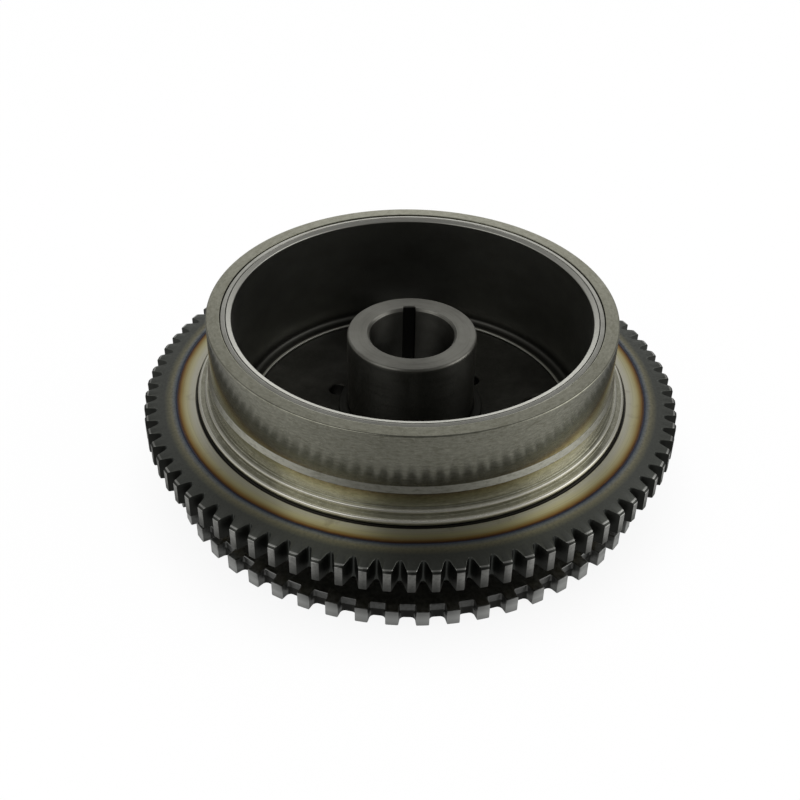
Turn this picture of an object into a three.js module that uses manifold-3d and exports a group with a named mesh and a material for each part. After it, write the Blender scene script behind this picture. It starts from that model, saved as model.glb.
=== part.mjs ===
// Magneto flywheel with a starter ring gear and a toothed trigger ring, standing on its
// back with the cup open upwards. Millimetres, +Z up, origin on the axis at the rear face.
import * as THREE from "three";
import { mergeVertices } from "three/addons/utils/BufferGeometryUtils.js";
import Module from "manifold-3d";

const wasm = await Module();
wasm.setup();

// ---- Driving dimensions --------------------------------------------------------------

const MODULE = 2.5;              // starter ring gear module
const GEAR_TEETH = 80;
const TRIGGER_TEETH = 55;
const MAGNETS = 12;

const GAP = 0.3;                 // clearance kept between neighbouring pieces
const FLATS = 64;                // flats round a turned piece
const HOLE_FLATS = 20;           // flats round a drilled hole

const RIM_TOP = 70.2;            // height of the open rim above the rear face
const RIM_R = 76.6;              // outside of the cup wall
const RIM_BORE_R = 71.5;         // inside of the cup wall, behind the magnets
const EDGE = 0.5;                // broken edge on machined corners

const BAND_TOP = 48.9;           // the wall steps out over a steep chamfer ...
const BAND_BOTTOM = 46.5;
const BAND_R = 77.5;
const STEP_A = { z: 40.2, r: 79.3 };   // ... and then over two square shoulders
const STEP_B = { z: 38.0, r: 82.0 };
const FLANGE_Z = 35.8;           // upper face of the gear carrier and of the ring gear

const NECK_R = 79.7;             // body behind the cup, which carries both toothed rings
const RECESS_R = 70.0;           // recess in the rear of the body
const RECESS_TOP = 12.0;
const FLOOR_TOP = 22.8;          // floor of the cup
const SPIGOT_HOLE_R = 22.3;

const GEAR_BOTTOM = 25.5;
const GEAR_BORE_R = 90.15;
const GEAR_TIP_SHARE = 0.29;     // parts of the pitch: a tooth at its tip ...
const GEAR_GAP_SHARE = 0.3;      // ... and the gap at its root
const WELD_WIDTH = 1.2;          // V-groove cut in each side of the gear-to-carrier joint
const GEAR_AZIMUTH = 1.1;        // degrees from -Y to the nearest tooth

const TRIGGER_TOP = 6.7;
const TRIGGER_TIP_R = 93.8;
const TRIGGER_ROOT_R = 90.1;
const TRIGGER_TIP_SHARE = 0.43;  // parts of the pitch that a tooth fills at its tip ...
const TRIGGER_ROOT_SHARE = 0.47; // ... and at its root
const TRIGGER_AZIMUTH = 3.83;

const HUB = {
  r: 24.6, bore: 16.2, top: 58.9, bottom: 4.0, spigot: 22.0,
  foot: 28.2, footTop: 25.8, footBevel: 1.0, chamfer: 1.6, boreChamfer: 0.6,
};
const HUB_WELD = { leg: 3.5, toe: 1.0 };
const KEY = { width: 5.0, depth: 2.0, azimuth: 184.4 };

const SLEEVE_BORE_R = 67.3;      // thin cover over the faces of the magnets
const SLEEVE_WALL = 0.8;
const SLEEVE_LIP_R = 69.2;       // lip turned out at the top
const SLEEVE_LIP_DEPTH = 1.6;
const SLEEVE_TOE_R = 62.4;       // foot turned in on the floor
const SLEEVE_CORNER = 2.8;       // bend radius of that foot, on the inside
const INSERT_TOP = RIM_TOP - 0.2;      // upper faces of the lip and of the retaining ring
const MAGNET_TOP = 62.0;
const MAGNET_FLATS = 5;
const SPACER_ANGLE = 3.0;        // degrees of each moulded wedge between two magnets

const PULLER = { count: 3, circle: 31.4, r: 3.4, azimuth: 129.0 };
const VENT = { count: 4, circle: 52.9, r: 7.6, azimuth: 94.0 };

// ---- Finishes ------------------------------------------------------------------------

const finish = {
  turned: [0x8d8c80, 0.34, 0.95],
  floor: [0x55554d, 0.5, 0.8],
  hub: [0x6e6d64, 0.4, 0.9],
  gear: [0x3d3f3d, 0.5, 0.85],
  trigger: [0x6c6e6c, 0.45, 0.9],
  carrier: [0xa39c88, 0.35, 0.9],
  weld: [0x3a2f28, 0.6, 0.7],
  sleeve: [0x5c5c54, 0.38, 0.9],
  magnet: [0x2c2c2e, 0.7, 0.2],
  resin: [0x1c1b1a, 0.8, 0.0],
};

function material(name) {
  const [color, roughness, metalness] = finish[name];
  return new THREE.MeshStandardMaterial({ color, roughness, metalness });
}

// ---- Shapes --------------------------------------------------------------------------

const radians = THREE.MathUtils.degToRad;

// A point at a radius and an azimuth measured from -Y towards +X.
function polar(radius, azimuth) {
  const a = radians(azimuth);
  return new THREE.Vector2(radius * Math.sin(a), -radius * Math.cos(a));
}

function arc(radius, from, to, steps) {
  return Array.from({ length: steps + 1 }, (_, i) =>
    polar(radius, from + (to - from) * i / steps));
}

function circle(radius, steps = FLATS) {
  return arc(radius, 0, 360, steps).slice(0, -1);
}

// A closed profile of [radius, height] corners, turned about Z.
function turned(corners) {
  const profile = corners.map(([r, z]) => new THREE.Vector2(r, z));
  if (THREE.ShapeUtils.area(profile) < 0) profile.reverse();
  profile.push(profile[0].clone());
  return new THREE.LatheGeometry(profile, FLATS).rotateX(Math.PI / 2);
}

function prism(outline, bottom, top, hole) {
  const shape = new THREE.Shape(outline);
  if (hole) shape.holes.push(new THREE.Path(hole));
  const flat = new THREE.ExtrudeGeometry(shape, { depth: top - bottom, bevelEnabled: false });
  return flat.translate(0, 0, bottom);
}

// The outline of a ring of teeth. A tooth fills root.share and tip.share of the pitch at
// those radii; the first one is centred on an azimuth.
function toothed(teeth, azimuth, root, tip) {
  const pitch = 360 / teeth;
  return Array.from({ length: teeth }, (_, i) => {
    const middle = azimuth + i * pitch;
    return [[root, -0.5], [tip, -0.5], [tip, 0.5], [root, 0.5]].map(([end, side]) =>
      polar(end.r, middle + side * end.share * pitch));
  }).flat();
}

function toSolid(geometry) {
  const bare = geometry.clone();
  bare.deleteAttribute("normal");
  bare.deleteAttribute("uv");
  const welded = mergeVertices(bare, 1e-4);
  return new wasm.Manifold(new wasm.Mesh({
    numProp: 3,
    vertProperties: new Float32Array(welded.attributes.position.array),
    triVerts: new Uint32Array(welded.index.array),
  }));
}

function cut(geometry, tools) {
  let solid = toSolid(geometry);
  for (const tool of tools) solid = solid.subtract(toSolid(tool));
  const mesh = solid.getMesh();
  const result = new THREE.BufferGeometry();
  result.setAttribute("position", new THREE.BufferAttribute(mesh.vertProperties, 3));
  result.setIndex(new THREE.BufferAttribute(mesh.triVerts, 1));
  result.computeVertexNormals();
  return result;
}

// Drills for a ring of equal holes right through the floor of the cup.
function drills({ count, circle: pitchR, r, azimuth }) {
  return Array.from({ length: count }, (_, i) => {
    const centre = polar(pitchR, azimuth + 360 * i / count);
    const outline = circle(r, HOLE_FLATS).map((p) => p.add(centre));
    return prism(outline, RECESS_TOP - 1, FLOOR_TOP + 1);
  });
}

// ---- Pieces --------------------------------------------------------------------------

function drum() {
  const body = turned([
    [RECESS_R, 0],
    [NECK_R, 0],
    [NECK_R, FLANGE_Z + GAP],
    [STEP_B.r, FLANGE_Z + GAP],
    [STEP_B.r, STEP_B.z],
    [STEP_A.r, STEP_B.z],
    [STEP_A.r, STEP_A.z],
    [BAND_R, STEP_A.z],
    [BAND_R, BAND_BOTTOM],
    [RIM_R, BAND_TOP],
    [RIM_R, RIM_TOP - EDGE],
    [RIM_R - EDGE, RIM_TOP],
    [RIM_BORE_R, RIM_TOP],
    [RIM_BORE_R, FLOOR_TOP],
    [SPIGOT_HOLE_R, FLOOR_TOP],
    [SPIGOT_HOLE_R, RECESS_TOP],
    [RECESS_R, RECESS_TOP],
  ]);
  return cut(body, [...drills(PULLER), ...drills(VENT)]);
}

function hub() {
  const seat = FLOOR_TOP + GAP;
  const body = turned([
    [HUB.bore, HUB.bottom + HUB.boreChamfer],
    [HUB.bore + HUB.boreChamfer, HUB.bottom],
    [HUB.spigot - EDGE, HUB.bottom],
    [HUB.spigot, HUB.bottom + EDGE],
    [HUB.spigot, seat],
    [HUB.foot, seat],
    [HUB.foot, HUB.footTop - EDGE],
    [HUB.foot - EDGE, HUB.footTop],
    [HUB.r + HUB.footBevel, HUB.footTop],
    [HUB.r, HUB.footTop + HUB.footBevel],
    [HUB.r, HUB.top - HUB.chamfer],
    [HUB.r - HUB.chamfer, HUB.top],
    [HUB.bore + HUB.boreChamfer, HUB.top],
    [HUB.bore, HUB.top - HUB.boreChamfer],
  ]);
  const reach = HUB.bore + KEY.depth;
  const slot = prism([
    new THREE.Vector2(-KEY.width / 2, 0),
    new THREE.Vector2(KEY.width / 2, 0),
    new THREE.Vector2(KEY.width / 2, reach),
    new THREE.Vector2(-KEY.width / 2, reach),
  ], HUB.bottom - 1, HUB.top + 1).rotateZ(radians(KEY.azimuth - 180));
  return cut(body, [slot]);
}

// Ring behind the floor that fixes the hub's spigot in the body.
function hubWeld() {
  const { leg, toe } = HUB_WELD;
  const top = RECESS_TOP - GAP;
  const inner = HUB.spigot + GAP;
  return turned([
    [inner, top - leg],
    [inner + toe, top - leg],
    [inner + leg, top - toe],
    [inner + leg, top],
    [inner, top],
  ]);
}

function gearCarrier() {
  const inner = NECK_R + GAP;
  const outer = GEAR_BORE_R - GAP;
  return turned([
    [inner, GEAR_BOTTOM],
    [outer, GEAR_BOTTOM],
    [outer, FLANGE_Z - WELD_WIDTH],
    [outer - WELD_WIDTH, FLANGE_Z],
    [inner, FLANGE_Z],
  ]);
}

function ringGear() {
  const root = { r: MODULE * (GEAR_TEETH - 2.5) / 2, share: 1 - GEAR_GAP_SHARE };
  const tip = { r: MODULE * (GEAR_TEETH + 2) / 2, share: GEAR_TIP_SHARE };
  const outline = toothed(GEAR_TEETH, GEAR_AZIMUTH, root, tip);
  const teeth = prism(outline, GEAR_BOTTOM, FLANGE_Z, circle(GEAR_BORE_R));
  const groove = turned([
    [GEAR_BORE_R - 1, FLANGE_Z - WELD_WIDTH - 1],
    [GEAR_BORE_R + WELD_WIDTH + 1, FLANGE_Z + 1],
    [GEAR_BORE_R - 1, FLANGE_Z + 1],
  ]);
  return cut(teeth, [groove]);
}

function weldSeam() {
  const middle = GEAR_BORE_R - GAP / 2;
  const half = WELD_WIDTH - GAP;
  return turned([
    [middle - half, FLANGE_Z],
    [middle, FLANGE_Z - half],
    [middle + half, FLANGE_Z],
  ]);
}

function triggerRing() {
  const root = { r: TRIGGER_ROOT_R, share: TRIGGER_ROOT_SHARE };
  const tip = { r: TRIGGER_TIP_R, share: TRIGGER_TIP_SHARE };
  const outline = toothed(TRIGGER_TEETH, TRIGGER_AZIMUTH, root, tip);
  return prism(outline, 0, TRIGGER_TOP, circle(NECK_R + GAP));
}

function magnetSleeve() {
  const outer = SLEEVE_BORE_R + SLEEVE_WALL;
  const bottom = FLOOR_TOP + GAP;
  const bend = SLEEVE_CORNER + SLEEVE_WALL;
  const diagonal = 1 - Math.SQRT1_2;
  return turned([
    [SLEEVE_TOE_R, bottom],
    [outer - bend, bottom],
    [outer - diagonal * bend, bottom + diagonal * bend],
    [outer, bottom + bend],
    [outer, INSERT_TOP - SLEEVE_LIP_DEPTH],
    [SLEEVE_LIP_R, INSERT_TOP - SLEEVE_WALL],
    [SLEEVE_LIP_R, INSERT_TOP],
    [SLEEVE_BORE_R + GAP, INSERT_TOP],
    [SLEEVE_BORE_R, INSERT_TOP - GAP],
    [SLEEVE_BORE_R, bottom + bend],
    [SLEEVE_BORE_R - diagonal * SLEEVE_CORNER, bottom + SLEEVE_WALL + diagonal * SLEEVE_CORNER],
    [SLEEVE_BORE_R - SLEEVE_CORNER, bottom + SLEEVE_WALL],
    [SLEEVE_TOE_R, bottom + SLEEVE_WALL],
  ]);
}

function retainingRing() {
  const inner = SLEEVE_LIP_R + GAP;
  const outer = RIM_BORE_R - GAP;
  return turned([
    [inner, MAGNET_TOP + GAP],
    [outer, MAGNET_TOP + GAP],
    [outer, INSERT_TOP],
    [inner, INSERT_TOP],
  ]);
}

// One block of the ring behind the sleeve, centred on an azimuth.
function ringBlock(azimuth, angle, steps) {
  const inner = SLEEVE_BORE_R + SLEEVE_WALL + GAP;
  const outer = RIM_BORE_R - GAP;
  const [from, to] = [azimuth - angle / 2, azimuth + angle / 2];
  const outline = [...arc(outer, from, to, steps), ...arc(inner, to, from, steps)];
  return prism(outline, FLOOR_TOP + GAP, MAGNET_TOP);
}

// ---- Assembly ------------------------------------------------------------------------

const flywheel = new THREE.Group();

function place(name, geometry, look) {
  const mesh = new THREE.Mesh(geometry, material(look));
  mesh.name = name;
  flywheel.add(mesh);
}

place("drum", drum(), "turned");
place("hub", hub(), "hub");
place("hub_weld", hubWeld(), "weld");
place("gear_carrier", gearCarrier(), "carrier");
place("ring_gear", ringGear(), "gear");
place("gear_weld", weldSeam(), "weld");
place("trigger_ring", triggerRing(), "trigger");
place("magnet_sleeve", magnetSleeve(), "sleeve");
place("retaining_ring", retainingRing(), "turned");

const pole = 360 / MAGNETS;
const clearance = THREE.MathUtils.radToDeg(GAP / SLEEVE_BORE_R);
for (let i = 0; i < MAGNETS; i += 1) {
  const number = String(i + 1).padStart(2, "0");
  const magnetAngle = pole - SPACER_ANGLE - 2 * clearance;
  place(`magnet_${number}`, ringBlock(i * pole, magnetAngle, MAGNET_FLATS), "magnet");
  place(`magnet_spacer_${number}`, ringBlock((i + 0.5) * pole, SPACER_ANGLE, 1), "resin");
}

export default flywheel;
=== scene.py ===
"""Looks of the magneto flywheel: fine meshes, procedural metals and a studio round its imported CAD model."""
import math

import bmesh
import bpy
from mathutils import Matrix, Vector

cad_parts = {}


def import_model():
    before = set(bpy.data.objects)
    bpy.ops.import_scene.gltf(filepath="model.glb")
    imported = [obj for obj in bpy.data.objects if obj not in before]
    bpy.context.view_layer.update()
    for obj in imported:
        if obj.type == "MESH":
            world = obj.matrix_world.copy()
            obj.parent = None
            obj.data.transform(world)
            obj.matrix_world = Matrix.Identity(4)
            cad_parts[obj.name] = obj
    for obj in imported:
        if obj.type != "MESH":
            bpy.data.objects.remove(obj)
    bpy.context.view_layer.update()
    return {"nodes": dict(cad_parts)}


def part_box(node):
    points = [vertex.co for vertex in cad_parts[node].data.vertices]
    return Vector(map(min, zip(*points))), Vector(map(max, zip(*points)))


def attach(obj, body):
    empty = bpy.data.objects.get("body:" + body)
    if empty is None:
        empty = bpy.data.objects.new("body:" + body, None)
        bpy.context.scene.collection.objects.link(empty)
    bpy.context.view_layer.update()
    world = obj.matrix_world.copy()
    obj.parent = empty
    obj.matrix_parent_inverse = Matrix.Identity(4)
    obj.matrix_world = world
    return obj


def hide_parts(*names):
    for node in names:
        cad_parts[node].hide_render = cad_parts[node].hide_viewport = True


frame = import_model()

# ---- Sizes, in millimetres in the CAD frame ---------------------------------------------

MM = 0.001


def low(node, axis=2):
    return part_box(node)[0][axis] / MM


def high(node, axis=2):
    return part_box(node)[1][axis] / MM


CLEAR = 0.3                            # gap that the CAD keeps between its nodes

RIM_TOP = high("drum")
RIM_R = 76.6
RIM_BORE = 71.5
BAND_TOP, BAND_LOW, BAND_R = 48.9, 46.5, 77.5
STEP_A_TOP, STEP_A_R = 40.2, 79.3
STEP_B_TOP, STEP_B_R = 38.0, high("drum", 0)
FLOOR = 22.8
SPIGOT_HOLE = 22.3
RECESS_TOP, RECESS_R = 12.0, 70.0
NECK_R = 79.7

FLANGE = high("gear_carrier")          # upper faces of the carrier and of the ring gear
GEAR_LOW = low("ring_gear")
GEAR_TEETH, GEAR_AZIMUTH = 80, 1.1
MODULE = 2.5
SEAM_R = 90.0
BEAD_HALF = 0.55                       # half the width of the bead in the seam
# the groove's dark line is deepened by painted shade in the drum and carrier looks
GROOVE_IN, GROOVE_OUT, GROOVE_DEPTH = 82.3, 82.85, 0.35   # dark line at the foot of the shoulders
TRIGGER_TEETH, TRIGGER_AZIMUTH = 55, 3.83
TRIGGER_TOP = high("trigger_ring")
TRIGGER_TIP, TRIGGER_ROOT = 93.8, 90.1

HUB_TOP, HUB_LOW = high("hub"), low("hub")
HUB_R, BORE_R, SPIGOT_R = 24.6, 16.2, 22.0
FOOT_R, FOOT_TOP = 28.2, 25.8
KEY_WIDTH, KEY_DEPTH, KEY_AZIMUTH = 5.0, 2.0, 184.4
WELD_LEG = 3.5

INSERT_TOP = high("retaining_ring")
SLEEVE_R, SLEEVE_WALL, LIP_R, TOE_R = 67.3, 0.8, 69.2, 62.4
MAGNET_TOP = 62.0

PULLER = (3, 31.4, 3.4, 129.0)         # count, pitch radius, radius, first azimuth
VENT = (4, 52.9, 7.6, 94.0)


def polar(radius, azimuth, z=0.0):
    """A point in metres; azimuth in degrees from -Y towards +X."""
    a = math.radians(azimuth)
    return (radius * math.sin(a) * MM, -radius * math.cos(a) * MM, z * MM)


# ---- Meshes -----------------------------------------------------------------------------

SHARP = math.radians(34)
SUPPORT = 0.12                         # a flat ends this far before its fillet begins
SEGMENTS = 320


def fillet(corners, steps=3):
    """Rounds a closed profile of (radius, height, fillet) corners."""
    points = []
    for i, (r, z, size) in enumerate(corners):
        here = Vector((r, z))
        before = Vector(corners[i - 1][:2]) - here
        after = Vector(corners[(i + 1) % len(corners)][:2]) - here
        if size <= 0:
            points.append(here)
            continue
        room = 0.47 * min(before.length, after.length) - SUPPORT
        half = before.angle(after) / 2
        back = min(size / math.tan(half), room)
        before.normalize()
        after.normalize()
        centre = here + (before + after).normalized() * (back / math.cos(half))
        start, end = here + before * back - centre, here + after * back - centre
        sweep = start.angle(end)
        points.append(here + before * (back + SUPPORT))
        for k in range(steps + 1):
            t = k / steps
            mix = start * math.sin((1 - t) * sweep) + end * math.sin(t * sweep)
            points.append(centre + mix / math.sin(sweep))
        points.append(here + after * (back + SUPPORT))
    return points


def tidy(obj):
    """Faces out, smooth shading, and hard edges only where the surface really turns."""
    bm = bmesh.new()
    bm.from_mesh(obj.data)
    bmesh.ops.recalc_face_normals(bm, faces=bm.faces)
    for face in bm.faces:
        face.smooth = True
    for edge in bm.edges:
        edge.smooth = len(edge.link_faces) == 2 and edge.calc_face_angle(0) < SHARP
    bm.to_mesh(obj.data)
    bm.free()
    return obj


def from_loops(name, loops, capped=False):
    """A mesh of rings of equally many points; the last joins the first, or both ends are capped."""
    count = len(loops[0])
    faces = []
    for i in range(len(loops) - 1 if capped else len(loops)):
        a, b = i * count, (i + 1) % len(loops) * count
        for k in range(count):
            m = (k + 1) % count
            faces.append((a + k, a + m, b + m, b + k))
    if capped:
        last = (len(loops) - 1) * count
        faces += [tuple(range(count)), tuple(range(last, last + count))]
    mesh = bpy.data.meshes.new(name)
    mesh.from_pydata([p for loop in loops for p in loop], [], faces)
    obj = bpy.data.objects.new(name, mesh)
    bpy.context.scene.collection.objects.link(obj)
    return tidy(obj)


def lathe(name, corners, ripple=None, steps=3):
    """A turned piece. ripple(azimuth, point) gives how far the surface swells there, in mm."""
    profile = fillet(corners, steps)
    loops = []
    for p in profile:
        ring = []
        for k in range(SEGMENTS):
            azimuth = 360 * k / SEGMENTS
            swell = ripple(azimuth, p) if ripple else 0
            ring.append(polar(p.x, azimuth, p.y + swell))
        loops.append(ring)
    return from_loops(name, loops)


def cut(obj, cutters):
    """Takes the cutters out of obj and deletes them."""
    for cutter in cutters:
        modifier = obj.modifiers.new("cut", "BOOLEAN")
        modifier.operation = "DIFFERENCE"
        modifier.solver = "EXACT"
        modifier.object = cutter
    depsgraph = bpy.context.evaluated_depsgraph_get()
    mesh = bpy.data.meshes.new_from_object(obj.evaluated_get(depsgraph))
    obj.modifiers.clear()
    obj.data = mesh
    for cutter in cutters:
        bpy.data.objects.remove(cutter)
    return tidy(obj)


def drills(holes, flare, segments=64):
    """Cutters for a ring of holes through the cup's floor, each opening out at both faces."""
    count, pitch_r, radius, azimuth = holes
    cutters = []
    for i in range(count):
        cx, cy, _ = polar(pitch_r, azimuth + 360 * i / count)
        loops = []
        for r, z in (
            (radius + flare + 1, RECESS_TOP - 1), (radius, RECESS_TOP + flare),
            (radius, FLOOR - flare), (radius + flare + 1, FLOOR + 1),
        ):
            ring = [polar(r, 360 * k / segments, z) for k in range(segments)]
            loops.append([(x + cx, y + cy, h) for x, y, h in ring])
        cutters.append(from_loops("drill", loops, capped=True))
    return cutters


def key_cutter(flare=0.25, corner=0.3):
    out, side = Vector(polar(1, KEY_AZIMUTH)), Vector(polar(1, KEY_AZIMUTH + 90))
    loops = []
    for z, grow in (
        (HUB_LOW - 1, 1 + flare), (HUB_LOW + flare, 0), (HUB_TOP - flare, 0), (HUB_TOP + 1, 1 + flare),
    ):
        half, reach = KEY_WIDTH / 2 + grow, BORE_R + KEY_DEPTH + grow
        outline = [
            (-half, 0.8 * BORE_R), (half, 0.8 * BORE_R), (half, reach - corner),
            (half - corner, reach), (corner - half, reach), (-half, reach - corner),
        ]
        loops.append([side * s + out * d + Vector((0, 0, z * MM)) for s, d in outline])
    return from_loops("key", loops, capped=True)


def toothed(name, teeth, azimuth, half_tooth, rows, droop=lambda r, z: 0.0):
    """A ring of teeth, as loops from row to row and back. half_tooth(row) lists (radius, share of the
    pitch) from the middle of a gap to the middle of a tooth; a row with a plain radius is round there.
    droop says how far below its row a point lies."""
    pitch = 360 / teeth
    shares = [share for _, share in half_tooth(rows[0])]
    loops = []
    for row in rows:
        half = [(row["r"], share) for share in shares] if "r" in row else half_tooth(row)
        whole = half + [(r, 1 - share) for r, share in reversed(half[1:-1])]
        loops.append([
            polar(r, azimuth + (tooth - 0.5 + share) * pitch, row["z"] - droop(r, row["z"]))
            for tooth in range(teeth) for r, share in whole
        ])
    return from_loops(name, loops)


def involute(angle):
    return math.tan(angle) - angle


PRESSURE = math.radians(20)
PITCH_R = MODULE * GEAR_TEETH / 2
BASE_R = PITCH_R * math.cos(PRESSURE)
GEAR_TIP = MODULE * (GEAR_TEETH + 2) / 2
GEAR_ROOT = 97.2
TOOTH_THICK = 4.45                     # on the pitch circle
SLOPE_START, SLOPE_DROP = 91.5, 1.4    # the gear's upper face falls away towards the tips
TIP_BEVEL = 0.8


def gear_half_tooth(row):
    """Involute flank with a round root. side, tip and root are how far this row is cut back."""
    side, tip_r = row["side"], GEAR_TIP - row["tip"]
    step = 2 * math.pi / GEAR_TEETH

    def gap(r):
        """Half of the gap's angle at a radius."""
        lean = math.acos(min(1, BASE_R / r))
        return step / 2 - TOOTH_THICK / 2 / PITCH_R - involute(PRESSURE) + involute(lean) + side / r

    rounding = 0.78 + 0.6 * side
    centre = GEAR_ROOT + rounding - row["root"]
    points = [(centre - rounding, 0.0)]
    for k in range(1, 5):
        turn = math.radians(17 * k)
        x, y = rounding * math.sin(turn), centre - rounding * math.cos(turn)
        points.append((math.hypot(x, y), min(math.atan2(x, y), gap(math.hypot(x, y)))))
    start = points[-1][0]
    for k in range(1, 6):
        r = start + (tip_r - 0.25 - start) * k / 5
        points.append((r, gap(r)))
    edge = gap(tip_r - 0.25)
    points += [(tip_r - 0.07, edge + 0.07 / tip_r), (tip_r, edge + 0.26 / tip_r), (tip_r, step / 2)]
    return [(r, angle / step) for r, angle in points]


def gear_droop(r, z):
    outward = min(1.0, max(0.0, (r - SLOPE_START) / (GEAR_TIP - SLOPE_START)))
    return SLOPE_DROP * outward * (z - GEAR_LOW) / (FLANGE - GEAR_LOW)


def trigger_half_tooth(row):
    """Square tooth and a notch with round corners."""
    step = 360 / TRIGGER_TEETH
    arc = math.radians(step)
    root, tip = TRIGGER_ROOT - row["root"], TRIGGER_TIP - row["tip"]
    half_gap = 0.285 * arc * TRIGGER_TIP + row["side"]
    corner = row["corner"]
    points = [(root, 0.0), (root, (half_gap - corner - 0.45) / root)]
    for k in range(6):
        turn = math.radians(18 * k)
        x = half_gap - corner + corner * math.sin(turn) - 0.25
        y = root + corner * (1 - math.cos(turn))
        points.append((y, x / y))
    points += [(tip - 0.35, half_gap / tip), (tip - 0.1, (half_gap + 0.06) / tip)]
    points += [(tip, (half_gap + 0.3) / tip), (tip, arc / 2)]
    return [(r, angle / arc) for r, angle in points]


def cut_row(z, tip, side, root, corner=0.6):
    """How far the teeth are cut back at a height, and the radius in the corners of their gaps."""
    return {"z": z, "tip": tip, "side": side, "root": root, "corner": corner}


def add(piece, node, look):
    piece.data.materials.clear()
    piece.data.materials.append(look)
    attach(piece, "root")
    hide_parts(node)


# ---- Materials --------------------------------------------------------------------------

ACROSS = 0.25                          # a quarter turn, from along the grooves to across them


class Look:
    """A procedural material under construction. Sockets and plain numbers mix freely as inputs."""

    def __init__(self, name):
        self.material = bpy.data.materials.new(name)
        self.material.use_nodes = True
        self.tree = self.material.node_tree
        self.tree.nodes.clear()
        place = self.node("ShaderNodeTexCoord").outputs["Object"]
        scaled = self.node("ShaderNodeVectorMath", {0: place, "Scale": 1 / MM}, operation="SCALE")
        self.point = scaled.outputs[0]
        split = self.node("ShaderNodeSeparateXYZ", {0: self.point})
        x, y, self.z = split.outputs
        square = self.math("ADD", self.math("MULTIPLY", x, x), self.math("MULTIPLY", y, y))
        self.r = self.math("SQRT", square)
        safe = self.math("MAXIMUM", self.r, 1.0)
        self.cos, self.sin = self.math("DIVIDE", x, safe), self.math("DIVIDE", y, safe)

    def node(self, kind, inputs=None, **settings):
        node = self.tree.nodes.new(kind)
        for key, value in settings.items():
            setattr(node, key, value)
        for key, value in (inputs or {}).items():
            if isinstance(value, bpy.types.NodeSocket):
                self.tree.links.new(value, node.inputs[key])
            else:
                node.inputs[key].default_value = value
        return node

    def math(self, operation, a, b=0.0, c=0.0, clamp=False):
        inputs = {0: a, 1: b, 2: c}
        return self.node("ShaderNodeMath", inputs, operation=operation, use_clamp=clamp).outputs[0]

    def both(self, a, b):
        """A mask where two masks hold."""
        return self.math("MULTIPLY", a, b)

    def either(self, a, b):
        """A mask where one of two masks holds."""
        return self.math("MAXIMUM", a, b)

    def step(self, value, start, end, low=0.0, high=1.0):
        """Goes smoothly from low to high while value goes from start to end."""
        inputs = {"Value": value, "From Min": start, "From Max": end, "To Min": low, "To Max": high}
        return self.node("ShaderNodeMapRange", inputs, interpolation_type="SMOOTHSTEP").outputs[0]

    def mix(self, factor, a, b):
        def full(c):
            return c if isinstance(c, bpy.types.NodeSocket) else (*c, 1.0)
        return self.node("ShaderNodeMix", {0: factor, 6: full(a), 7: full(b)}, data_type="RGBA").outputs[2]

    def blend(self, factor, a, b):
        return self.node("ShaderNodeMix", {0: factor, 2: a, 3: b}, data_type="FLOAT").outputs[0]

    def noise(self, scale, detail=2.0, roughness=0.5, vector=None, w=None, distortion=0.0):
        inputs = {"Vector": vector or self.point, "Scale": scale, "Detail": detail,
                  "Roughness": roughness, "Distortion": distortion}
        if w is not None:
            inputs["W"] = w
        dimensions = "3D" if w is None else "4D"
        return self.node("ShaderNodeTexNoise", inputs, noise_dimensions=dimensions).outputs[0]

    def turned(self, along_r, along_z, around, detail=2.0, shift=0.0):
        """Noise drawn out round Z: fine along the radius and the height, in cycles per mm."""
        place = self.node("ShaderNodeCombineXYZ", {
            0: self.math("MULTIPLY", self.cos, around),
            1: self.math("MULTIPLY", self.sin, around),
            2: self.math("MULTIPLY", self.z, along_z),
        }).outputs[0]
        w = self.math("MULTIPLY_ADD", self.r, along_r, shift)
        return self.noise(1.0, detail, 0.55, place, w)

    def ramp(self, value, stops):
        """Colours along value; stops are (position, colour) from 0 to 1."""
        node = self.node("ShaderNodeValToRGB", {0: value})
        elements = node.color_ramp.elements
        while len(elements) < len(stops):
            elements.new(0.5)
        for element, (position, colour) in zip(elements, stops):
            element.position = position
            element.color = (*colour, 1.0)
        return node.outputs[0]

    def bump(self, height, distance, normal=None, strength=1.0):
        """distance is the height of a full step of height, in mm."""
        inputs = {"Height": height, "Distance": distance * MM, "Strength": strength}
        if normal is not None:
            inputs["Normal"] = normal
        return self.node("ShaderNodeBump", inputs).outputs[0]

    def done(self, colour, roughness, metallic=1.0, normal=None, **constants):
        inputs = {"Base Color": colour, "Roughness": roughness, "Metallic": metallic}
        if normal is not None:
            inputs["Normal"] = normal
        for key, value in constants.items():
            inputs[key.replace("_", " ").title()] = value
        shader = self.node("ShaderNodeBsdfPrincipled", inputs)
        self.node("ShaderNodeOutputMaterial", {0: shader.outputs[0]})
        return self.material

    def done_turned(self, colour, roughness, metallic, normal, spread):
        """A turned metal: spread says how far its grooves draw highlights out across them."""
        tangent = self.node("ShaderNodeTangent", direction_type="RADIAL", axis="Z").outputs[0]
        return self.done(colour, roughness, metallic, normal, anisotropic=spread,
                         anisotropic_rotation=ACROSS, tangent=tangent)


def wear(look, colour, scale, low, high, amount, tone):
    """Patches of another tone, in blotches of about 1/scale mm."""
    patch = look.step(look.noise(scale, 4.0, 0.6), low, high, 0.0, amount)
    return look.mix(patch, colour, tone)


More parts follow.
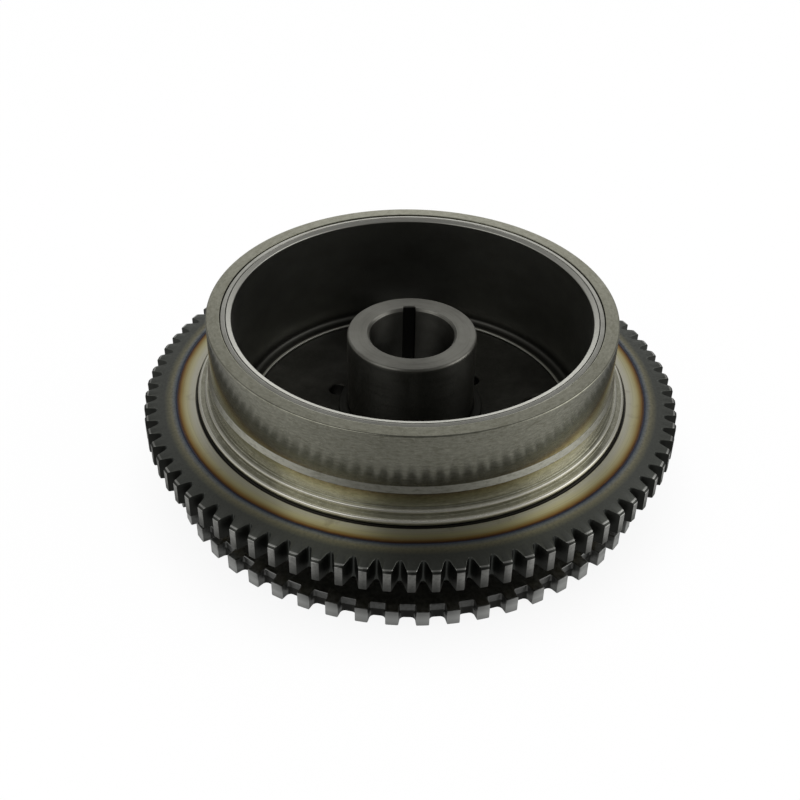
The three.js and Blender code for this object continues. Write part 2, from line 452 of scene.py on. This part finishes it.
def drum_look():
    look = Look("turned_drum_steel")
    wall = look.turned(0.0, 2.6, 1.3, 3.0)
    lines = look.turned(2.2, 3.4, 2.5, 4.0, 11.0)
    dashes = look.turned(1.5, 3.2, 48.0, 3.0, 17.0)
    cloud = look.noise(0.045, 4.0, 0.6)
    steel = look.mix(look.step(cloud, 0.3, 0.75), (0.44, 0.435, 0.35), (0.51, 0.505, 0.41))
    steel = look.mix(look.step(wall, 0.35, 0.75, 0.0, 0.18), steel, (0.30, 0.29, 0.25))
    steel = look.mix(look.step(lines, 0.58, 0.75, 0.0, 0.2), steel, (0.66, 0.65, 0.60))
    steel = look.mix(look.step(dashes, 0.42, 0.72, 0.0, 0.42), steel, (0.24, 0.235, 0.19))
    chamfer = look.both(
        look.step(look.z, BAND_LOW - 0.15, BAND_LOW + 0.1), look.step(look.z, BAND_TOP, BAND_TOP - 0.2))
    steel = look.mix(look.both(chamfer, 0.4), steel, (0.74, 0.73, 0.65))
    shoulder = look.both(
        look.step(look.z, FLANGE + 0.1, FLANGE + 0.3), look.step(look.z, STEP_A_TOP + 0.2, STEP_A_TOP))
    steel = look.mix(look.both(shoulder, 0.6), steel, (0.32, 0.31, 0.235))
    mottle = look.turned(0.9, 1.5, 30.0, 4.0, 33.0)
    steel = look.mix(look.step(mottle, 0.47, 0.68, 0.0, 0.5), steel, (0.25, 0.24, 0.165))
    steel = look.mix(look.step(mottle, 0.47, 0.3, 0.0, 0.4), steel, (0.66, 0.645, 0.52))
    speckle = look.noise(1.1, 3.0, 0.7)
    steel = look.mix(look.step(speckle, 0.5, 0.72, 0.0, 0.4), steel, (0.70, 0.69, 0.58))

    def crest_highlight(radius, top, amount):
        """Painted highlight: a bright line along the rounded edge of a shoulder."""
        return look.both(look.step(look.r, radius - 1.1, radius - 0.9),
                         look.step(look.z, top - 1.0, top - 0.8, 0.0, amount))
    # painted highlights: bright lines coloured along the rounded edges of both shoulders
    shoulder_highlights = look.either(crest_highlight(STEP_A_R, STEP_A_TOP, 0.6), crest_highlight(STEP_B_R, STEP_B_TOP, 0.9))
    steel = look.mix(shoulder_highlights, steel, (0.82, 0.80, 0.70))
    # painted shade: the crease at the foot of the lower shoulder, beside the carrier, is coloured near black
    root = look.both(look.step(look.z, FLANGE + 0.8, FLANGE + 0.4),
                     look.step(look.r, STEP_B_R - 0.4, STEP_B_R - 0.2))
    steel = look.mix(look.both(root, 0.85), steel, (0.04, 0.038, 0.03))
    top = look.both(look.step(look.z, RIM_TOP - 0.3, RIM_TOP - 0.15), 0.35)
    steel = look.mix(top, steel, (0.25, 0.245, 0.19))

    shade = look.step(cloud, 0.35, 0.7)
    # darker inside the cup and below the flange; the same places are rougher and pitted
    inside = look.both(look.step(look.r, RIM_BORE, RIM_BORE - 0.3), look.step(look.z, 68.0, 66.0))
    below = look.step(look.z, FLANGE + 0.15, FLANGE - 0.4)
    rear = look.both(look.step(look.r, NECK_R - 0.1, NECK_R - 0.6),
                     look.step(look.z, RECESS_TOP + 0.7, RECESS_TOP + 0.4))
    dark_inside_and_below = look.either(inside, below)
    dark = look.mix(shade, (0.055, 0.054, 0.047), (0.10, 0.098, 0.088))
    dark = look.mix(rear, dark, look.mix(shade, (0.27, 0.265, 0.235), (0.36, 0.355, 0.32)))
    colour = look.mix(dark_inside_and_below, steel, dark)
    grain = look.noise(1.6, 5.0, 0.65)
    rough = look.blend(
        dark_inside_and_below, look.step(wall, 0.25, 0.8, 0.13, 0.20), look.step(grain, 0.3, 0.7, 0.42, 0.6))
    rough = look.blend(chamfer, rough, 0.3)
    lands = look.both(shoulder, look.step(look.r, BAND_R + 0.1, BAND_R + 0.5))
    metal = look.blend(lands, 1.0, 0.88)
    fine = look.bump(lines, 0.005, strength=0.5)
    wavy = look.bump(wall, 0.006, look.bump(dashes, 0.006, fine, 0.6), 0.5)
    pitted = look.bump(look.math("MULTIPLY", grain, dark_inside_and_below), 0.06, wavy, 0.5)
    return look.done_turned(colour, rough, metal, pitted, 0.6)


def hub_look():
    look = Look("turned_hub_steel")
    lines = look.turned(2.8, 2.4, 1.6, 3.0, 3.0)
    cloud = look.noise(0.09, 4.0, 0.6)
    colour = look.mix(look.step(cloud, 0.3, 0.7), (0.26, 0.255, 0.225), (0.32, 0.315, 0.28))
    colour = look.mix(look.step(lines, 0.5, 0.75, 0.0, 0.3), colour, (0.17, 0.165, 0.145))
    # painted shade: the keyway, the walls below the hub's top and its foot are coloured darker
    shaded_keyway = look.both(
        look.step(look.r, BORE_R + 0.1, BORE_R + 0.4), look.step(look.r, BORE_R + 3.4, BORE_R + 3.0))
    shaded_keyway = look.both(shaded_keyway, look.step(look.z, HUB_TOP - 0.35, HUB_TOP - 0.9))
    wall = look.step(look.z, HUB_TOP - 0.3, HUB_TOP - 2.0, 0.0, 0.45)
    shaded_foot = look.step(look.z, FOOT_TOP + 3.0, FOOT_TOP + 1.0)
    dark = look.either(shaded_keyway, look.either(shaded_foot, wall))
    colour = look.mix(look.both(dark, 0.97), colour, (0.025, 0.025, 0.022))
    rough = look.step(lines, 0.3, 0.75, 0.32, 0.44)
    normal = look.bump(lines, 0.006, look.bump(look.noise(0.8, 4.0, 0.6), 0.010, strength=0.4), 0.6)
    return look.done_turned(colour, rough, 1.0, normal, 0.9)


def heat(look, steel, scale):
    """Heat tint on either side of the welded seam."""
    inner, outer = 84.0, 95.0
    noise = look.turned(0.10, 0.0, 5.0, 3.0, 7.0)
    wobble = look.math("MULTIPLY_ADD", noise, 1.1, -0.55)
    r = look.math("ADD", look.r, wobble)
    place = look.math("DIVIDE", look.math("SUBTRACT", r, inner), outer - inner, clamp=True)

    def at(mm):
        return (mm - inner) / (outer - inner)
    return look.ramp(place, [
        (at(84.3), steel), (at(86.6), (0.74, 0.69, 0.42)), (at(87.6), (0.62, 0.53, 0.27)),
        (at(88.4), (0.47, 0.33, 0.12)), (at(89.1), (0.30, 0.16, 0.055)), (at(89.75), (0.12, 0.062, 0.04)),
        (at(90.15), (0.075, 0.085, 0.14)), (at(90.7), (0.16, 0.19, 0.235)), (at(91.5), (0.31, 0.32, 0.305)),
        (at(92.4), (0.36, 0.34, 0.235)), (at(93.4), (0.26, 0.25, 0.18)), (at(94.9), scale),
    ])


CARRIER_STEEL = (0.77, 0.745, 0.61)
GEAR_SCALE = (0.152, 0.158, 0.142)


def carrier_look():
    look = Look("faced_carrier_steel")
    lines = look.turned(3.2, 1.8, 2.2, 3.0, 5.0)
    broad = look.turned(0.5, 0.4, 1.2, 2.0, 9.0)
    colour = heat(look, CARRIER_STEEL, GEAR_SCALE)
    colour = look.mix(look.step(lines, 0.5, 0.78, 0.0, 0.25), colour, (0.20, 0.19, 0.15))
    colour = look.mix(look.step(broad, 0.5, 0.8, 0.0, 0.2), colour, (0.78, 0.76, 0.68))
    colour = wear(look, colour, 0.12, 0.58, 0.78, 0.4, (0.26, 0.20, 0.11))
    # painted shade: the carrier's inner edge, in the groove beside the drum's shoulder, is coloured near
    # black
    colour = look.mix(look.step(look.r, STEP_B_R + 1.0, STEP_B_R + 0.7), colour, (0.035, 0.033, 0.027))
    rough = look.step(lines, 0.3, 0.75, 0.30, 0.42)
    normal = look.bump(lines, 0.008, look.bump(broad, 0.02, strength=0.4), 0.6)
    return look.done_turned(colour, rough, 1.0, normal, 0.8)


def seam_look():
    look = Look("heat_tinted_seam")
    chevrons = look.turned(0.9, 0.9, 26.0, 2.0, 4.0)
    grain = look.noise(1.1, 5.0, 0.65)
    colour = heat(look, CARRIER_STEEL, GEAR_SCALE)
    colour = look.mix(look.step(grain, 0.35, 0.7, 0.0, 0.5), colour, (0.07, 0.06, 0.05))
    normal = look.bump(chevrons, 0.03, look.bump(grain, 0.02, strength=0.6), 0.6)
    return look.done(colour, look.step(grain, 0.3, 0.7, 0.32, 0.48), 1.0, normal)


def gear_look():
    look = Look("hardened_gear_steel")
    grain = look.noise(0.9, 5.0, 0.65)
    patch = look.turned(0.0, 0.0, 14.0, 2.0, 5.0)
    lines = look.turned(2.6, 0.6, 2.4, 3.0, 15.0)
    colour = heat(look, CARRIER_STEEL, GEAR_SCALE)
    colour = look.mix(look.step(grain, 0.35, 0.75, 0.0, 0.35), colour, (0.10, 0.105, 0.095))
    outward = look.math("SUBTRACT", look.r, SLOPE_START)
    outward = look.math("DIVIDE", outward, GEAR_TIP - SLOPE_START, clamp=True)
    level = look.math("MULTIPLY_ADD", outward, SLOPE_DROP, look.z)
    # painted shade: below the upper face, the tooth flanks and gaps are coloured darker
    wall = look.mix(look.step(look.r, 97.6, 98.2), (0.14, 0.148, 0.135), (0.068, 0.07, 0.063))
    colour = look.mix(look.step(level, FLANGE - 0.05, FLANGE - 0.3), colour, wall)
    # tip faces: worn bright metal, graded brighter towards the top as painted light
    face = look.both(
        look.step(look.r, GEAR_TIP - 0.16, GEAR_TIP - 0.06), look.step(look.z, 25.9, 32.6, 0.3, 1.0))
    face = look.both(face, look.step(grain, 0.25, 0.6, 0.6, 1.0))
    face = look.both(face, look.step(patch, 0.35, 0.6, 0.6, 1.0))
    # painted glint: a bright line along the worn top edge of each tip
    brow = look.step(look.r, GEAR_TIP - 1.5, GEAR_TIP - 1.2)
    edge = look.both(brow, look.step(level, FLANGE - 0.12, FLANGE - 0.03))
    edge = look.both(edge, look.step(patch, 0.3, 0.65, 0.35, 1.0))
    wear_and_glint = look.either(face, edge)
    colour = look.mix(wear_and_glint, colour, (0.70, 0.70, 0.66))
    rough = look.blend(wear_and_glint, look.step(grain, 0.3, 0.7, 0.36, 0.5), 0.3)
    normal = look.bump(lines, 0.008, look.bump(grain, 0.02, strength=0.5), 0.5)
    return look.done_turned(colour, rough, 1.0, normal, 0.75)


def trigger_look():
    look = Look("trigger_ring_steel")
    grain = look.noise(0.8, 5.0, 0.6)
    drawn = look.turned(1.4, 0.5, 3.0, 3.0, 21.0)
    colour = look.mix(look.step(grain, 0.3, 0.7), (0.19, 0.19, 0.18), (0.28, 0.285, 0.275))
    # painted shade: the lower part of the notches' root walls is coloured near black
    shaded_low_part = look.step(look.z, 4.2, 3.6)
    root_only = look.step(look.r, TRIGGER_ROOT + 0.9, TRIGGER_ROOT + 0.4)
    colour = look.mix(look.both(shaded_low_part, root_only), colour, (0.05, 0.05, 0.046))
    # tooth faces: bright machined metal, graded brighter towards the bottom as painted light
    face = look.both(
        look.step(look.r, TRIGGER_TIP - 0.5, TRIGGER_TIP - 0.15), look.step(look.z, 6.3, 2.6, 0.4, 1.0))
    colour = look.mix(face, colour, (0.86, 0.87, 0.84))
    colour = look.mix(look.step(drawn, 0.5, 0.8, 0.0, 0.3), colour, (0.20, 0.20, 0.19))
    rough = look.step(grain, 0.3, 0.7, 0.28, 0.42)
    normal = look.bump(grain, 0.02, look.bump(drawn, 0.012, strength=0.5), 0.5)
    return look.done(colour, rough, 1.0, normal)


def sleeve_look():
    look = Look("pressed_sleeve_steel")
    drawn = look.turned(0.3, 0.12, 5.0, 2.0, 2.0)
    grain = look.noise(1.2, 4.0, 0.6)
    colour = look.mix(look.step(drawn, 0.3, 0.7), (0.27, 0.27, 0.245), (0.315, 0.315, 0.285))
    colour = look.mix(look.step(grain, 0.5, 0.8, 0.0, 0.2), colour, (0.24, 0.24, 0.22))
    # painted shade: the sleeve is coloured darker towards the cup's floor
    shaded_foot = look.step(look.z, FLOOR + 8.0, FLOOR + 3.0)
    colour = look.mix(shaded_foot, colour, (0.075, 0.074, 0.066))
    # painted highlights: bright lines coloured at the lip and along the toe
    lip_highlight = look.step(look.z, INSERT_TOP - 1.3, INSERT_TOP - 0.8)
    toe_highlight = look.step(look.r, TOE_R + 1.2, TOE_R + 0.6)
    colour = look.mix(look.either(lip_highlight, toe_highlight), colour, (0.68, 0.675, 0.61))
    rough = look.step(grain, 0.3, 0.75, 0.34, 0.42)
    return look.done(colour, rough, 1.0, look.bump(grain, 0.004, strength=0.4))


def insert_look():
    look = Look("faced_insert_steel")
    lines = look.turned(4.0, 2.0, 2.0, 3.0, 31.0)
    cloud = look.noise(0.15, 4.0, 0.6)
    colour = look.mix(look.step(cloud, 0.3, 0.7), (0.52, 0.515, 0.46), (0.62, 0.615, 0.56))
    colour = look.mix(look.step(lines, 0.5, 0.8, 0.0, 0.3), colour, (0.28, 0.275, 0.24))
    normal = look.bump(lines, 0.006, strength=0.6)
    return look.done(colour, look.step(lines, 0.3, 0.7, 0.22, 0.34), 1.0, normal)


def weld_look():
    look = Look("heat_tinted_weld")
    chevrons = look.turned(0.9, 0.9, 26.0, 2.0, 4.0)
    grain = look.noise(1.1, 5.0, 0.65)
    colour = look.ramp(look.math("MULTIPLY_ADD", grain, 0.6, look.math("MULTIPLY", chevrons, 0.4)), [
        (0.3, (0.035, 0.03, 0.024)), (0.48, (0.07, 0.058, 0.045)), (0.6, (0.075, 0.085, 0.10)),
        (0.72, (0.16, 0.12, 0.07)),
    ])
    normal = look.bump(chevrons, 0.12, look.bump(grain, 0.05, strength=0.6), 0.7)
    return look.done(colour, look.step(grain, 0.3, 0.7, 0.34, 0.55), 1.0, normal)


def magnet_look():
    look = Look("sintered_magnet")
    grain = look.noise(2.4, 6.0, 0.7)
    chips = look.noise(0.35, 5.0, 0.6)
    colour = look.mix(look.step(grain, 0.3, 0.7), (0.035, 0.036, 0.04), (0.085, 0.085, 0.09))
    colour = look.mix(look.step(chips, 0.62, 0.7, 0.0, 0.7), colour, (0.16, 0.16, 0.165))
    normal = look.bump(grain, 0.05, look.bump(chips, 0.15, strength=0.5), 0.6)
    return look.done(colour, look.step(grain, 0.3, 0.7, 0.5, 0.72), 0.35, normal)


def resin_look():
    look = Look("moulded_resin")
    flow = look.noise(0.3, 4.0, 0.6, distortion=1.2)
    specks = look.noise(3.0, 4.0, 0.6)
    colour = look.mix(look.step(flow, 0.3, 0.7), (0.012, 0.011, 0.010), (0.028, 0.026, 0.023))
    colour = look.mix(look.step(specks, 0.66, 0.75, 0.0, 0.5), colour, (0.07, 0.065, 0.06))
    normal = look.bump(specks, 0.03, look.bump(flow, 0.08, strength=0.5), 0.5)
    return look.done(colour, look.step(flow, 0.3, 0.7, 0.42, 0.6), 0.0, normal)


# ---- Pieces -----------------------------------------------------------------------------

weld = weld_look()

drum = lathe("drum_shell", [
    (RECESS_R, 0, 0.5), (NECK_R, 0, 0.3), (NECK_R, FLANGE + CLEAR, 0), (STEP_B_R, FLANGE + CLEAR, 0.12),
    (STEP_B_R, STEP_B_TOP, 1.1), (STEP_A_R, STEP_B_TOP, 0.15), (STEP_A_R, STEP_A_TOP, 1.1),
    (BAND_R, STEP_A_TOP, 0.3), (BAND_R, BAND_LOW, 0.25), (RIM_R, BAND_TOP, 0.25),
    (RIM_R, RIM_TOP, 0.45), (RIM_BORE, RIM_TOP, 0.15), (RIM_BORE, FLOOR, 0.4), (SPIGOT_HOLE, FLOOR, 0.1),
    (SPIGOT_HOLE, RECESS_TOP, 0.3), (RECESS_R, RECESS_TOP, 1.6),
])
add(cut(drum, drills(PULLER, 0.4) + drills(VENT, 0.6)), "drum", drum_look())

hub = lathe("hub_boss", [
    (BORE_R, HUB_LOW, 0.6), (SPIGOT_R, HUB_LOW, 0.5), (SPIGOT_R, FLOOR + CLEAR, 0.1),
    (FOOT_R, FLOOR + CLEAR, 0.1), (FOOT_R, FOOT_TOP, 0.5), (HUB_R, FOOT_TOP, 1.2),
    (HUB_R, HUB_TOP, 0.9), (BORE_R + 0.9, HUB_TOP, 0.15), (BORE_R, HUB_TOP - 0.9, 0.15),
], steps=5)
add(cut(hub, [key_cutter()]), "hub", hub_look())


def bead_ripple(azimuth, point):
    """Fine chevrons of a machine weld on the bead's upper side."""
    wave = math.sin(math.radians(azimuth * 190) + 1.7 * math.sin(math.radians(azimuth * 7)))
    return 0.012 * wave if point.y > FLANGE - 0.2 else 0.0


add(lathe("seam_bead", [
    (SEAM_R - BEAD_HALF, FLANGE - 0.12, 0.02), (SEAM_R - BEAD_HALF, FLANGE - 1.2, 0.1),
    (SEAM_R + BEAD_HALF, FLANGE - 1.2, 0.1), (SEAM_R + BEAD_HALF, FLANGE - 0.12, 0.02),
    (SEAM_R + 0.25, FLANGE - 0.03, 0.2), (SEAM_R - 0.25, FLANGE - 0.03, 0.2),
], bead_ripple), "gear_weld", seam_look())

boss_weld_top = RECESS_TOP - CLEAR
boss_weld_in = SPIGOT_R + CLEAR
add(lathe("boss_bead", [
    (boss_weld_in, boss_weld_top - WELD_LEG, 0.3), (boss_weld_in + 1.2, boss_weld_top - WELD_LEG, 0.6),
    (boss_weld_in + 2.8, boss_weld_top - 2.4, 1.2), (boss_weld_in + WELD_LEG, boss_weld_top - 0.9, 0.4),
    (boss_weld_in + WELD_LEG, boss_weld_top, 0.1), (boss_weld_in, boss_weld_top, 0.1),
]), "hub_weld", weld)

add(lathe("carrier_plate", [
    (NECK_R + CLEAR, GEAR_LOW, 0.2), (SEAM_R - BEAD_HALF, GEAR_LOW, 0.3),
    (SEAM_R - BEAD_HALF, FLANGE, 0.08), (GROOVE_OUT + 0.25, FLANGE, 0.1),
    (GROOVE_OUT, FLANGE - GROOVE_DEPTH, 0.1), (GROOVE_IN, FLANGE - GROOVE_DEPTH, 0.1),
    (GROOVE_IN - 0.25, FLANGE, 0.1), (NECK_R + CLEAR, FLANGE, 0.1),
]), "gear_carrier", carrier_look())

bore = SEAM_R + BEAD_HALF
gear = toothed("ring_gear_teeth", GEAR_TEETH, GEAR_AZIMUTH, gear_half_tooth, [
    cut_row(GEAR_LOW, 0.45, 0.35, 0.3), cut_row(GEAR_LOW + 0.1, 0.22, 0.16, 0.14),
    cut_row(GEAR_LOW + 0.35, 0, 0, 0),
    cut_row(FLANGE - TIP_BEVEL - 0.06, 0, 0, 0), cut_row(FLANGE - TIP_BEVEL, 0.04, 0.02, 0.01),
    cut_row(FLANGE - 0.08, TIP_BEVEL - 0.06, 0.12, 0.06), cut_row(FLANGE, TIP_BEVEL + 0.06, 0.22, 0.12),
    {"z": FLANGE, "r": 95.6}, {"z": FLANGE, "r": SLOPE_START}, {"z": FLANGE, "r": bore + 0.12},
    {"z": FLANGE - 0.1, "r": bore}, {"z": GEAR_LOW + 0.3, "r": bore}, {"z": GEAR_LOW, "r": bore + 0.3},
    {"z": GEAR_LOW, "r": 95.2},
], gear_droop)
add(gear, "ring_gear", gear_look())

trigger = toothed("trigger_ring_teeth", TRIGGER_TEETH, TRIGGER_AZIMUTH, trigger_half_tooth, [
    cut_row(0, 0.3, 0.2, 0.4, 1.9), cut_row(0.12, 0.1, 0.08, 0.35, 2.0), cut_row(0.4, 0, 0, 0.3, 2.0),
    cut_row(3.0, 0, 0, 0.05, 2.0), cut_row(3.7, 0, 0, 0, 0.8), cut_row(TRIGGER_TOP - 0.45, 0, 0, 0),
    cut_row(TRIGGER_TOP - 0.15, 0.1, 0.08, 0.08), cut_row(TRIGGER_TOP, 0.35, 0.25, 0.25),
    {"z": TRIGGER_TOP, "r": 86.0}, {"z": TRIGGER_TOP, "r": NECK_R + CLEAR + 0.2},
    {"z": TRIGGER_TOP - 0.2, "r": NECK_R + CLEAR}, {"z": 0.2, "r": NECK_R + CLEAR},
    {"z": 0, "r": NECK_R + CLEAR + 0.2}, {"z": 0, "r": 86.0},
])
add(trigger, "trigger_ring", trigger_look())

sleeve_low, sleeve_out = FLOOR + CLEAR, SLEEVE_R + SLEEVE_WALL
add(lathe("sleeve_cover", [
    (TOE_R, sleeve_low, 0.1), (sleeve_out, sleeve_low, 3.4), (sleeve_out, INSERT_TOP - 1.7, 0.4),
    (LIP_R, INSERT_TOP - SLEEVE_WALL - 0.4, 0.2), (LIP_R, INSERT_TOP, 0.12),
    (SLEEVE_R, INSERT_TOP - 0.62, 0.45),
    (SLEEVE_R, sleeve_low + SLEEVE_WALL, 2.7), (TOE_R, sleeve_low + SLEEVE_WALL, 0.3),
], steps=5), "magnet_sleeve", sleeve_look())

add(lathe("insert_ring", [
    (LIP_R + CLEAR, MAGNET_TOP + CLEAR, 0.2), (RIM_BORE - CLEAR, MAGNET_TOP + CLEAR, 0.2),
    (RIM_BORE - CLEAR, INSERT_TOP - 0.16, 0.2), (LIP_R + CLEAR, INSERT_TOP, 0.2),
]), "retaining_ring", insert_look())

magnet, resin = magnet_look(), resin_look()
for name, node in frame["nodes"].items():
    if name.startswith("magnet_spacer"):
        node.data.materials.clear()
        node.data.materials.append(resin)
    elif name.startswith("magnet_") and name != "magnet_sleeve":
        node.data.materials.clear()
        node.data.materials.append(magnet)

# ---- Studio -----------------------------------------------------------------------------

scene = bpy.context.scene
scene.view_settings.view_transform = "Standard"
scene.view_settings.look = "None"


def camera():
    """The photograph's view, in metres and degrees."""
    data = bpy.data.cameras.new("camera")
    data.lens, data.sensor_width = 53.5, 36.0
    data.clip_start, data.clip_end = 0.01, 20.0
    cam = bpy.data.objects.new("camera", data)
    scene.collection.objects.link(cam)
    yaw, down, roll = math.radians(-0.623), math.radians(37.28), math.radians(1.096)
    ahead = Vector((math.sin(yaw) * math.cos(down), math.cos(yaw) * math.cos(down), -math.sin(down)))
    right = Vector((math.cos(yaw), -math.sin(yaw), 0))
    up = right.cross(ahead)
    turned_right = right * math.cos(roll) + up * math.sin(roll)
    turned_up = up * math.cos(roll) - right * math.sin(roll)
    cam.matrix_world = Matrix.Translation((0, -0.37334, 0.31087)) @ Matrix(
        (turned_right, turned_up, -ahead)).transposed().to_4x4()
    scene.camera = cam


def softbox(name, place, aim, width, height, radiance):
    """An area light that shows in the metal but not to the camera."""
    data = bpy.data.lights.new(name, "AREA")
    data.shape, data.size, data.size_y = "RECTANGLE", width, height
    data.energy = radiance * math.pi * width * height
    lamp = bpy.data.objects.new(name, data)
    scene.collection.objects.link(lamp)
    lamp.location = place
    lamp.rotation_euler = (Vector(place) - Vector(aim)).to_track_quat("Z", "Y").to_euler()
    lamp.visible_camera = False


def world():
    """A soft grey room: brightness by height, with broad glows where the big reflectors stand."""
    heights = [(-1.0, 0.12), (-0.85, 0.16), (-0.66, 0.22), (-0.4, 0.18), (-0.1, 0.10), (0.1, 0.09),
               (0.35, 0.08), (0.6, 0.05), (0.8, 0.04), (1.0, 0.05)]
    glows = [
        ((-1.0, -0.15, 0.15), 5.0, 0.50), ((1.0, -0.15, 0.15), 5.0, 0.62), ((0.0, 0.80, 0.60), 3.0, 0.14),
        ((0.0, 1.0, 0.05), 14.0, 0.85), ((-0.56, -0.44, 0.70), 20.0, 0.42),
        ((0.86, 0.10, 0.50), 18.0, 0.48), ((-0.1, 0.92, 0.37), 26.0, 0.22), ((0.15, 0.92, 0.37), 26.0, 0.26),
    ]
    room = bpy.data.worlds.new("room")
    scene.world = room
    room.use_nodes = True
    nodes, links = room.node_tree.nodes, room.node_tree.links
    nodes.clear()

    def math_node(operation, *values):
        node = nodes.new("ShaderNodeMath")
        node.operation = operation
        for socket, value in zip(node.inputs, values):
            if isinstance(value, bpy.types.NodeSocket):
                links.new(value, socket)
            else:
                socket.default_value = value
        return node.outputs[0]

    direction = nodes.new("ShaderNodeTexCoord").outputs["Generated"]
    split = nodes.new("ShaderNodeSeparateXYZ")
    links.new(direction, split.inputs[0])
    ramp = nodes.new("ShaderNodeValToRGB")
    links.new(math_node("MULTIPLY_ADD", split.outputs[2], 0.5, 0.5), ramp.inputs[0])
    elements = ramp.color_ramp.elements
    while len(elements) < len(heights):
        elements.new(0.5)
    for element, (height, value) in zip(elements, heights):
        element.position = height / 2 + 0.5
        element.color = (value, value, value, 1)
    total = ramp.outputs[0]
    for axis, sharpness, strength in glows:
        dot = nodes.new("ShaderNodeVectorMath")
        dot.operation = "DOT_PRODUCT"
        links.new(direction, dot.inputs[0])
        dot.inputs[1].default_value = Vector(axis).normalized()
        lobe = math_node("EXPONENT", math_node("MULTIPLY_ADD", dot.outputs["Value"], sharpness, -sharpness))
        total = math_node("MULTIPLY_ADD", lobe, strength, total)
    background = nodes.new("ShaderNodeBackground")
    links.new(total, background.inputs["Color"])
    output = nodes.new("ShaderNodeOutputWorld")
    links.new(background.outputs[0], output.inputs["Surface"])


def stage_look(name, emission, diffuse):
    """Pale on the side that faces the object and clear from behind."""
    material = bpy.data.materials.new(name)
    material.use_nodes = True
    nodes, links = material.node_tree.nodes, material.node_tree.links
    nodes.clear()
    pale = nodes.new("ShaderNodeBsdfPrincipled")
    pale.inputs["Base Color"].default_value = (diffuse, diffuse, diffuse, 1)
    pale.inputs["Roughness"].default_value = 1.0
    pale.inputs["Specular IOR Level"].default_value = 0.0
    pale.inputs["Emission Color"].default_value = (1, 1, 1, 1)
    pale.inputs["Emission Strength"].default_value = emission
    clear = nodes.new("ShaderNodeBsdfTransparent")
    side = nodes.new("ShaderNodeNewGeometry")
    mix = nodes.new("ShaderNodeMixShader")
    links.new(side.outputs["Backfacing"], mix.inputs[0])
    links.new(pale.outputs[0], mix.inputs[1])
    links.new(clear.outputs[0], mix.inputs[2])
    output = nodes.new("ShaderNodeOutputMaterial")
    links.new(mix.outputs[0], output.inputs["Surface"])
    return material


def stage_mesh(name, verts, faces, material):
    mesh = bpy.data.meshes.new(name)
    mesh.from_pydata(verts, [], faces)
    mesh.materials.append(material)
    obj = bpy.data.objects.new(name, mesh)
    scene.collection.objects.link(obj)
    obj.visible_glossy = False
    obj.visible_diffuse = False
    return obj


def studio():
    camera()
    world()
    reach, wall = 6.0, 5.0
    floor_z = -0.1 * MM
    corners = [(reach, -reach), (reach, reach), (-reach, reach), (-reach, -reach)]
    stage_mesh("floor", [(x, y, floor_z) for x, y in corners], [(0, 1, 2, 3)],
               stage_look("pale_floor", 0.90, 0.085))
    verts = [(x, y, z) for z in (floor_z - wall, wall) for x, y in corners]
    walls = [(i, (i + 1) % 4, (i + 1) % 4 + 4, i + 4) for i in range(4)]
    backdrop = stage_mesh("backdrop", verts, [w[::-1] for w in walls] + [(0, 1, 2, 3), (7, 6, 5, 4)],
                          stage_look("pale_wall", 0.985, 0.0))
    backdrop.visible_shadow = False
    overhead = bpy.data.lights.new("overhead", "SUN")
    overhead.energy, overhead.angle = 2.6, math.radians(60)
    lamp = bpy.data.objects.new("overhead", overhead)
    scene.collection.objects.link(lamp)
    lamp.visible_glossy = False
    softbox("softbox_left", (-0.69, -0.62, 0.87), (0, 0, 0.03), 0.9, 0.9, 0.5)
    softbox("softbox_right", (1.10, 0.04, 0.69), (0, 0, 0.03), 0.9, 0.9, 0.5)


studio()
